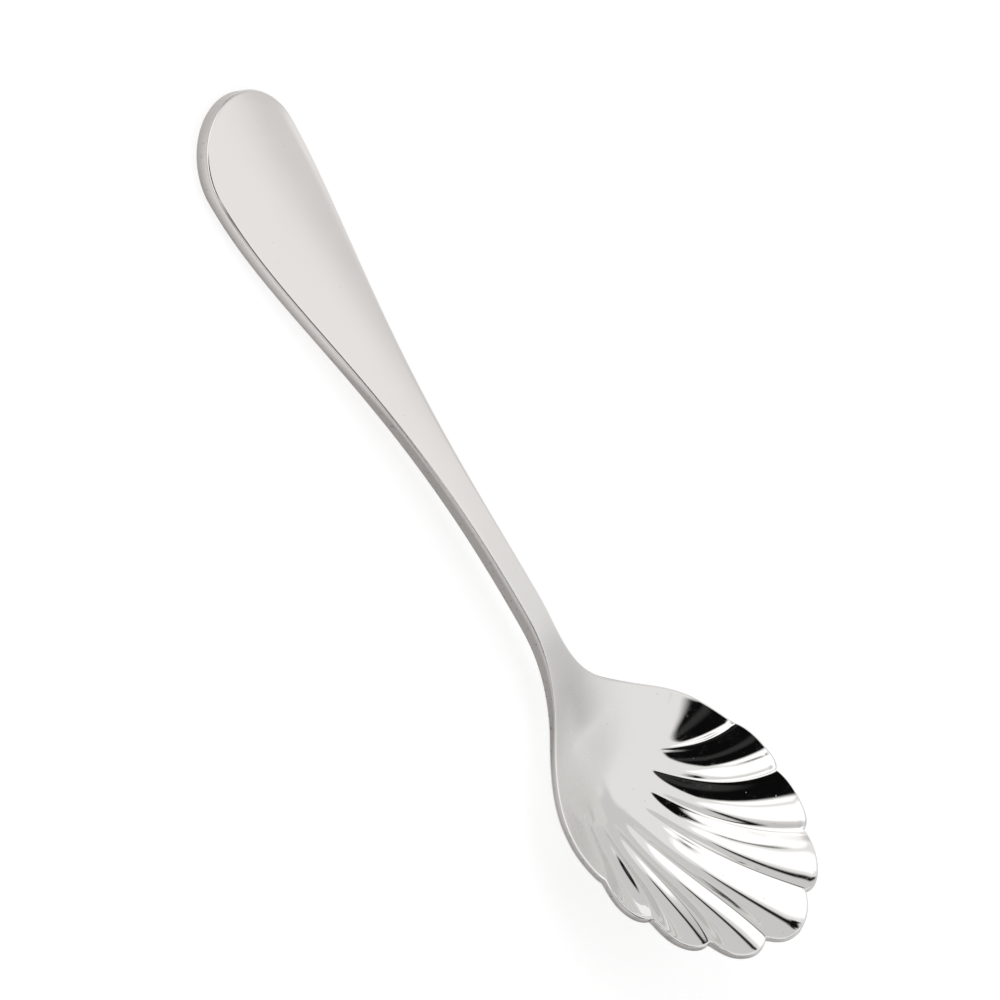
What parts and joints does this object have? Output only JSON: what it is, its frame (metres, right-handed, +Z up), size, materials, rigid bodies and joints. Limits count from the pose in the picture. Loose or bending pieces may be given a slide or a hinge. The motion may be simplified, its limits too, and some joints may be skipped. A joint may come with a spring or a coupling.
{
  "type": "serving spoon",
  "caption": "Small serving spoon in polished steel with a fluted shell bowl, scalloped rim, slim neck and flat flaring handle.",
  "frame": {"origin": "centre of the bounding box, on the surface that the spoon lies on", "axes": "+X from the handle's end to the bowl's tip, +Z up out of the bowl, y = 0 is the plane of symmetry"},
  "size_m": [0.1504, 0.0414, 0.0209],
  "materials": {
    "bowl_steel": "mirror-polished stainless steel",
    "handle_steel": "polished stainless steel, slightly satin"
  },
  "bodies": {
    "root": {"bowl": "bowl_steel", "handle": "handle_steel"}
  },
  "joints": []
}
